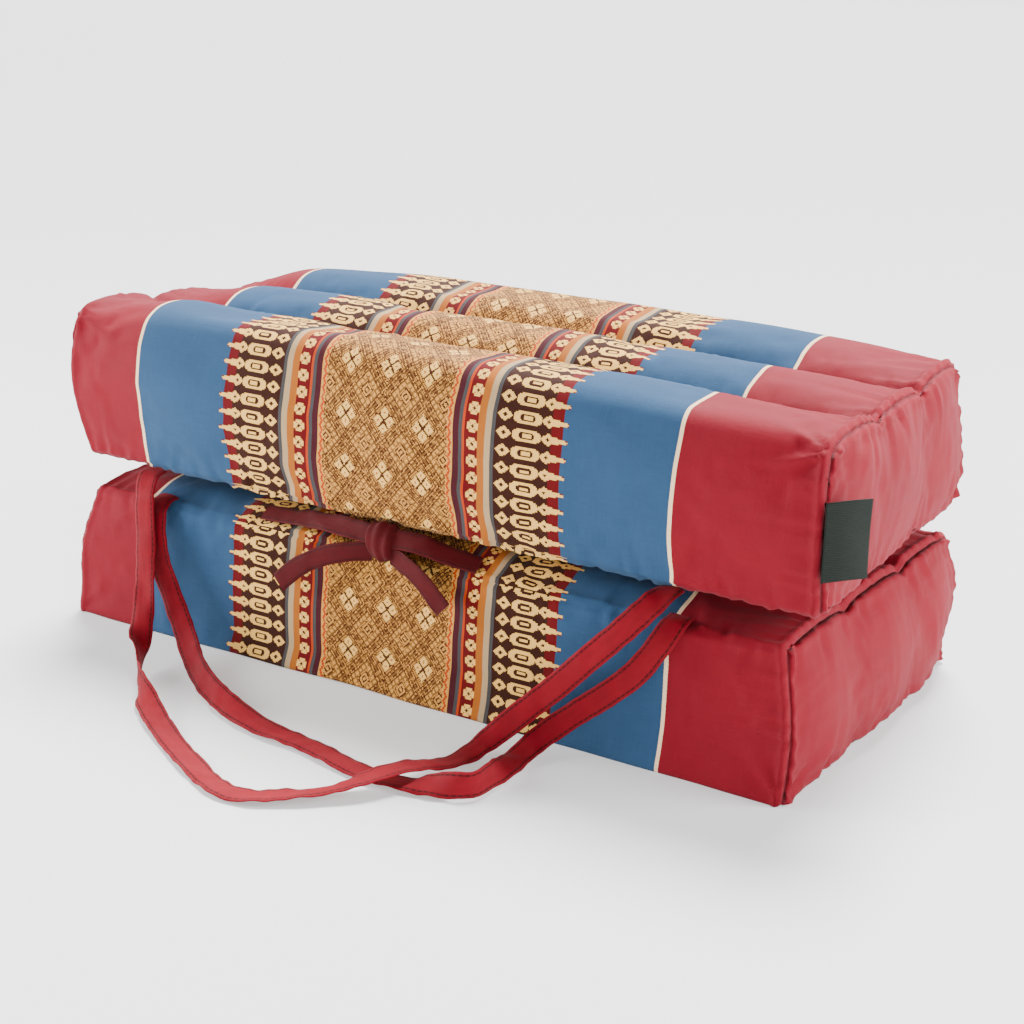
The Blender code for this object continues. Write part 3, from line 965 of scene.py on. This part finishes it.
# Routes of the flat handles, the same as the CAD's. rise is the height above lying on the
# floor, heading and lift give the direction of the tape's width, in degrees.
HANDLE_UPPER = (
    (-156, -84, 82, 180, 0),
    (-156, -91.5, 80.3, 180, 0),
    (-154, -97.5, 70, 180, 0),
    (-148, -105, 52, 180, 0),
    (-140, -117, 27, 178, 8),
    (-131.5, -131, 9.5, 165, 35),
    (-119, -147, 1, 135, 78),
    (-106.5, -160, 0.5, 95, 78),
    (-91, -172, 0.5, 60, 20),
    (-67, -187.5, 0, 60, 0),
    (-38, -204, 0, 62, 0),
    (-16, -214, 0, 75, 0),
    (-1, -214, 0, 100, 0),
    (14, -205.5, 0, 122, -8),
    (28, -194, 0.8, 128, -12),
    (38, -183, 4, 138, -6),
    (45.5, -170.5, 6.2, 150, 0),
    (52, -157.5, 4.6, 158, 0),
    (58, -142, 0.8, 166, 0),
    (61, -127, 0.5, 172, 6),
    (66, -116.5, 4, 176, 25),
    (79, -111.5, 16, 180, 45),
    (93, -109.5, 30, 180, 46),
    (107, -109, 45.5, 180, 45),
    (121, -106, 61, 180, 40),
    (131, -99.5, 74, 180, 25),
    (135, -91.5, 80.3, 180, 8),
    (135.5, -84, 82, 180, 0),
)
HANDLE_LOWER = (
    (-149, -84, 69.5, 0, 0),
    (-149, -91.5, 67.8, 0, 0),
    (-146.5, -98.5, 59, 0, 0),
    (-141, -103, 43, 5, 8),
    (-132, -107, 27, 12, 20),
    (-117, -114.5, 9, 28, 34),
    (-102, -126, 1, 45, 45),
    (-86, -138.5, 0, 58, 50),
    (-68, -149, 0, 68, 42),
    (-50, -155.5, 0, 78, 22),
    (-30, -159.5, 0, 88, 4),
    (-8, -161, 0, 92, 0),
    (16, -166.5, 0, 97, 0),
    (34, -170, 0, 95, 0),
    (50, -169, 0, 88, 2),
    (64, -167.5, 0, 85, 30),
    (75, -166.5, 0, 95, 72),
    (82, -161.5, 0, 150, 84),
    (83.5, -151, 0, 175, 70),
    (82.5, -136, 0, 180, 30),
    (81.5, -120, 0.5, 178, 12),
    (86, -107.5, 4, 180, 36),
    (99, -102, 15, 180, 48),
    (114, -101, 28, 180, 48),
    (127.5, -100.5, 42, 180, 42),
    (137, -98, 58.5, 180, 22),
    (140, -91.5, 67.8, 180, 5),
    (140.5, -84, 69.5, 180, 0),
)

# Width and thickness of the tapes, and how far their lowest threads stay off the floor
HANDLE_TAPE = (12.0, 1.6)
TIE_TAPE = (10.0, 1.2)
FLOOR_GAP = 0.9

# Closing tie: x, y, height of its middle line, heading and lift of its width
TIES = {
    "tie_loop_left": (
        (-18.3, -93.4, 80.3, 90, 62),
        (-36, -92.5, 80.5, 90, 48),
        (-55, -87.5, 78.3, 90, 35),
        (-73, -83.5, 75, 90, 29),
        (-90, -81, 73.4, 90, 29),
    ),
    "tie_loop_right": (
        (-6.1, -93.2, 80.4, 90, 62),
        (8, -92, 80, 90, 50),
        (21, -88, 76, 90, 35),
        (36, -83.5, 72.2, 90, 29),
    ),
    "tie_tail_left": (
        (-18, -93.6, 71.6, 180, 86),
        (-32, -98.5, 69.5, 180, 75),
        (-44, -100, 65, 180, 62),
        (-57, -100.5, 57, 180, 52),
        (-68, -100.5, 47, 180, 45),
    ),
    "tie_tail_right": (
        (-6.3, -93.6, 71.8, 0, 86),
        (7, -98, 69.4, 0, 70),
        (17, -100, 63.5, 0, 55),
        (27, -100.5, 54, 0, 45),
    ),
}


def through(points, at):
    """Points of a smooth curve through the given ones; at counts in points."""
    last = len(points) - 1
    index = np.clip(np.floor(at).astype(int), 0, last - 1)
    t = (at - index)[:, None]
    before = points[np.maximum(index - 1, 0)]
    start, end = points[index], points[index + 1]
    after = points[np.minimum(index + 2, last)]
    bend = (end - before) * t + (2 * before - 5 * start + 4 * end - after) * t ** 2
    return start + 0.5 * (bend + (3 * start - before - 3 * end + after) * t ** 3)


def unit(vectors):
    return vectors / np.maximum(np.linalg.norm(vectors, axis=-1, keepdims=True), 1e-9)


def sewn_tape(name, rows, width, thickness, steps, seed, crumple):
    """A folded and stitched cloth tape laid along its route. Gives the piece and its length."""
    rows = np.array(rows, dtype=float)
    at = np.linspace(0.0, len(rows) - 1, steps + 1)
    centre = through(rows[:, :3], at)
    turn, up = np.radians(rows[:, 3]), np.radians(rows[:, 4])
    widths = np.stack([np.cos(turn) * np.cos(up), np.sin(turn) * np.cos(up), np.sin(up)], axis=1)
    along = unit(np.gradient(centre, axis=0))
    across = through(widths, at)
    across = unit(across - along * (across * along).sum(axis=1, keepdims=True))
    out = np.cross(along, across)
    walked = walked_along(centre)

    # Cross section: a flat loop with full edges and a dent at each row of stitches
    places = np.linspace(-1.0, 1.0, 13)
    full = thickness / 2 * np.sqrt(1.0 - np.abs(places) ** 8 * 0.9)
    full -= 0.22 * thickness * np.exp(-((np.abs(places) - STITCH_DENT) / 0.10) ** 2)
    side = np.concatenate([places, places[::-1]])
    height = np.concatenate([full, -full[::-1]])

    cup = crumple * Waves(seed + 1, 18.0, 70.0).at(walked)
    ripple = crumple * 0.5 * Waves(seed, 9.0, 40.0).at(walked)
    narrow = 1.0 - 0.03 * np.abs(Waves(seed + 2, 14.0, 50.0).at(walked))
    offset = cup[:, None] * (side ** 2 - 0.4)[None] + ripple[:, None] * side[None]
    spread = side[None, :, None] * width / 2 * narrow[:, None, None]
    points = centre[:, None] + across[:, None] * spread
    points = points + out[:, None] * (height[None] + offset)[..., None]
    count = len(side)
    faces, marks = [], []
    for i in range(steps):
        for j in range(count):
            k = (j + 1) % count
            corners = ((i, j), (i, k), (i + 1, k), (i + 1, j))
            faces.append(tuple(a * count + b for a, b in corners))
            marks += [(walked[a] * MM, side[b] * MM) for a, b in corners]
    for ring, flip in ((0, False), (steps, True)):
        for j in range(len(places) - 1):
            corners = [ring * count + n for n in (j, j + 1, count - 2 - j, count - 1 - j)]
            faces.append(tuple(corners[::-1] if flip else corners))
            marks += [(walked[ring] * MM, side[n % count] * MM) for n in (j, j + 1, j + 1, j)]
    return new_piece(name, points * MM, faces, marks), walked[-1] * MM


def floor_rows(rows, width, thickness):
    """Rows with rise turned into the height of the tape's middle line."""
    placed = []
    for x, y, rise, heading, lift in rows:
        lie = abs(sin(radians(lift))) * width / 2 + cos(radians(lift)) * thickness / 2
        placed.append((x, y, rise + lie + FLOOR_GAP, heading, lift))
    return placed


def make_tapes(handle_cloth, tie_cloth_painted_shade):
    """Both handles and the four parts of the tie."""
    tapes = []
    for node, rows, seed in (("handle_upper", HANDLE_UPPER, 3), ("handle_lower", HANDLE_LOWER, 9)):
        rows = floor_rows(rows, *HANDLE_TAPE)
        tapes.append((node, rows, HANDLE_TAPE, 420, seed, 0.6, handle_cloth))
    # The tie's material is the darker red of painted shade
    for seed, (node, rows) in enumerate(TIES.items(), 2):
        tapes.append((node, rows, TIE_TAPE, 90, seed, 0.5, tie_cloth_painted_shade))
    for node, rows, size, steps, seed, crumple, material in tapes:
        tape, length = sewn_tape(node + "_tape", rows, *size, steps, seed, crumple)
        tape.data.materials.append(material)
        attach(tape, "root")
        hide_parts(node)
        size[0] * MM


KNOT_CENTRE = (-12.2, -91.6, 77.2)
KNOT_HALF_SIZE = (7.8, 6.6, 9.7)
KNOT_ROUND, KNOT_LONG = 64, 48
KNOT_PITCH = (0.0008, 0.00002)


def make_knot(material):
    """The pulled-tight knot: creased cloth wrapped upright across the strands."""
    turn = np.linspace(0.0, 2 * np.pi, KNOT_ROUND, endpoint=False)[None]
    along = np.linspace(-1.0, 1.0, KNOT_LONG + 1)[:, None]
    along = np.sin(along * np.pi / 2)
    full = (1.0 - np.abs(along) ** 3.5) ** 0.4
    full = full * (1.0 + 0.06 * np.cos(along * 8.0 + 0.9 * np.sin(turn * 2 + 0.5)))
    full = full * (1.0 + 0.04 * np.cos(3 * turn + 4.0 * along))
    shape = np.stack([
        along + 0.08 * np.sin(turn * 2) * full,
        full * np.cos(turn),
        full * np.sin(turn),
    ], axis=-1)
    points = (np.array(KNOT_CENTRE) + shape * np.array(KNOT_HALF_SIZE)) * MM
    faces, marks = [], []
    for i in range(KNOT_LONG):
        for j in range(KNOT_ROUND):
            corners = ((i, j), (i, j + 1), (i + 1, j + 1), (i + 1, j))
            faces.append(tuple(a * KNOT_ROUND + b % KNOT_ROUND for a, b in corners))
            marks += [(b * KNOT_PITCH[0], (a - KNOT_LONG // 2) * KNOT_PITCH[1]) for a, b in corners]
    knot = new_piece("knot", points, faces, marks)
    # The knot takes the tie's material, darkened red as painted shade
    knot.data.materials.append(material)
    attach(knot, "root")
    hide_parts("tie_knot")


# Hinge strip in metres: how far it stands out, sags in the middle and falls back at the ends
HINGE_OUT = 0.0006
HINGE_SAG = 0.004
HINGE_FALL = 0.0025

# Its net, the pitch of its cloth coordinates in metres and its thickness in millimetres
HINGE_NET = (240, 10)
HINGE_PITCH = (0.0015, 0.00005)
HINGE_THICKNESS = 0.8


def make_hinge(material):
    """The cloth strip that joins the blocks at the back, slack and a little gathered."""
    low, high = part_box("hinge_strip")
    x = np.linspace(low.x, high.x, HINGE_NET[0] + 1)[:, None]
    t = np.linspace(0.0, 1.0, HINGE_NET[1] + 1)[None]
    gather = Waves(71, 9.0, 60.0).at(x / MM) * 0.35
    free = 1 - (2 * t - 1) ** 2
    y = high.y + HINGE_OUT - HINGE_SAG * free + gather * MM * free
    fall = HINGE_FALL * (np.abs(x) / HALF_LENGTH / MM) ** 4
    z = low.z + (high.z - low.z) * t + 0 * x
    points = np.stack([x + 0 * t, y - fall, z], axis=-1)
    strip = new_piece("hinge_cloth", points, *open_net(*HINGE_NET, HINGE_PITCH))
    strip.data.materials.append(material)
    thicken(strip, HINGE_THICKNESS)
    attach(strip, "root")
    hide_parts("hinge_strip")


# Tag: its net, how far it stands out in metres, which way, and its thickness in millimetres
TAG_NET = (30, 44)
TAG_OUT = 0.0012
TAG_LEAN = (0.64, -0.77)
TAG_THICKNESS = 0.6
TAG_DARK = linear(8, 10, 9)
TAG_LIGHT = linear(36, 43, 38)


def make_tag():
    """The woven tag: a thin label, a little bowed, sewn into the corner seam."""
    low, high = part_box("seam_tag")
    u = np.linspace(0.0, 1.0, TAG_NET[0] + 1)[:, None]
    w = np.linspace(0.0, 1.0, TAG_NET[1] + 1)[None]
    x = low.x + (high.x - low.x) * u
    y = high.y + (low.y - high.y) * (1.0 - u)
    bow = 0.0011 * np.sin(u * np.pi) + 0.0005 * np.sin(w * 5.0 + u * 2.0) * u
    z = low.z + (high.z - low.z) * w + 0.0006 * np.sin(u * 3.0)
    outward = TAG_OUT + bow
    points = np.stack([x + TAG_LEAN[0] * outward, y + TAG_LEAN[1] * outward, z], axis=-1)
    pitch = (1 / TAG_NET[0], 1 / TAG_NET[1])
    tag = new_piece("tag", points, *open_net(*TAG_NET, pitch))
    tag.data.materials.append(tag_material())
    thicken(tag, TAG_THICKNESS)
    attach(tag, "root")
    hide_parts("seam_tag")


def tag_material():
    """Dark woven tape, ribbed across."""
    material, tree, shader = new_material("woven_tag")
    place = node_of(tree, "ShaderNodeTexCoord").outputs["Object"]
    ribs = node_of(tree, "ShaderNodeTexWave", Scale=420.0, Distortion=0.6, Detail=2.0)
    ribs.bands_direction = "Z"
    tree.links.new(place, ribs.inputs["Vector"])
    grain = noise(tree, place, 900.0, 3.0)
    shade = Term(tree, ribs.outputs["Fac"]) * 0.5 + grain * 0.5
    colour = mixed(tree, shade, TAG_DARK, TAG_LIGHT)
    finished(tree, shader, colour, bumped(tree, shade, 0.6, 0.0003), grain * 0.2 + 0.55, 0.12)
    return material


# Floor and the sweep that rises behind it: distance from the middle and height, in metres
SWEEP = (
    (0.02, 0),
    (1.5, 0),
    (3, 0),
    (4.4, 0),
    (5.3, 0.1),
    (6.1, 0.5),
    (6.7, 1.3),
    (6.9, 2.3),
    (6.95, 3.6),
)
SWEEP_STEPS = 96
FLOOR_DROP = 0.0003
FLOOR_GREY = (0.5, 0.5, 0.5, 1.0)
FLOOR_GLOW = 0.5
WHITE = (1.0, 1.0, 1.0, 1.0)


def plain_floor():
    """A pale floor that curves up on all sides, so that low views have no horizon."""
    profile = through(np.array(SWEEP, dtype=float), np.linspace(0.0, len(SWEEP) - 1, 40))
    turn = np.linspace(0.0, 2 * np.pi, SWEEP_STEPS, endpoint=False)
    points = [(r * cos(a), r * sin(a), max(z, 0.0)) for r, z in profile for a in turn]
    faces = [tuple(range(SWEEP_STEPS))]
    for i in range(len(profile) - 1):
        for j in range(SWEEP_STEPS):
            faces.append(tuple(a * SWEEP_STEPS + b % SWEEP_STEPS for a, b in quad(i, j)))
    floor = new_piece("floor", points, faces)
    floor.location.z = -FLOOR_DROP
    material, _, shader = new_material("pale_floor")
    set_inputs(shader, {
        "Base Color": FLOOR_GREY,
        "Roughness": 0.9,
        "Emission Color": WHITE,
        "Emission Strength": FLOOR_GLOW,
    })
    floor.data.materials.append(material)


# Lights: a wide key from above, and discs with their place, target, size and power
WORLD_STRENGTH = 0.18
KEY_DIRECTION = (0.22, -0.72, -1.3)
KEY_STRENGTH = 15.0
KEY_WIDTH = 24.0
LAMPS = {
    "left": ((-0.78, -0.46, 0.36), (-0.18, -0.05, 0.08), 0.5, 14.0),
    "right": ((1.2, 0.35, 0.6), (0.0, 0.0, 0.09), 0.7, 34.0),
}


def add_lamp(name, kind, power, direction):
    data = bpy.data.lights.new(name, kind)
    data.energy = power
    lamp = bpy.data.objects.new(name, data)
    lamp.rotation_euler = Vector(direction).to_track_quat("-Z", "Y").to_euler()
    bpy.context.scene.collection.objects.link(lamp)
    return lamp


def make_lights():
    world = bpy.data.worlds.new("studio")
    world.use_nodes = True
    background = world.node_tree.nodes["Background"]
    set_inputs(background, {"Color": WHITE, "Strength": WORLD_STRENGTH})
    bpy.context.scene.world = world
    key = add_lamp("key", "SUN", KEY_STRENGTH, KEY_DIRECTION)
    key.data.angle = radians(KEY_WIDTH)
    for name, (place, target, size, power) in LAMPS.items():
        lamp = add_lamp(name, "AREA", power, Vector(target) - Vector(place))
        lamp.location = place
        lamp.data.shape = "DISK"
        lamp.data.size = size


# Camera: degrees round and above its target, roll, distance in metres and lens
CAMERA_TURN = 30.5
CAMERA_HEIGHT = 20.0
CAMERA_ROLL = 0.85
CAMERA_DISTANCE = 0.965
CAMERA_TARGET = Vector((0.004, 0.0, 0.067))
CAMERA_LENS = 66.8


def make_camera():
    turn, height = radians(CAMERA_TURN), radians(CAMERA_HEIGHT)
    back = Vector((sin(turn) * cos(height), -cos(turn) * cos(height), sin(height)))
    data = bpy.data.cameras.new("camera")
    data.lens = CAMERA_LENS
    camera = bpy.data.objects.new("camera", data)
    camera.location = CAMERA_TARGET + back * CAMERA_DISTANCE
    view = (-back).to_track_quat("-Z", "Y").to_matrix().to_4x4()
    camera.rotation_euler = view.to_euler()
    camera.rotation_euler.rotate_axis("Z", radians(CAMERA_ROLL))
    bpy.context.scene.collection.objects.link(camera)
    bpy.context.scene.camera = camera


make_camera()
make_lights()
plain_floor()
cover_pair(cover_material())
handle_tape = tape_material("handle_tape", HANDLE_RED)
# Tie and knot material: the tape cloth darkened as painted shade
tie_tape_painted_shade = tape_material("tie_tape_painted_shade", TIE_RED_PAINTED_SHADE)
make_tapes(handle_tape, tie_tape_painted_shade)
make_knot(tie_tape_painted_shade)
make_hinge(handle_tape)
make_tag()
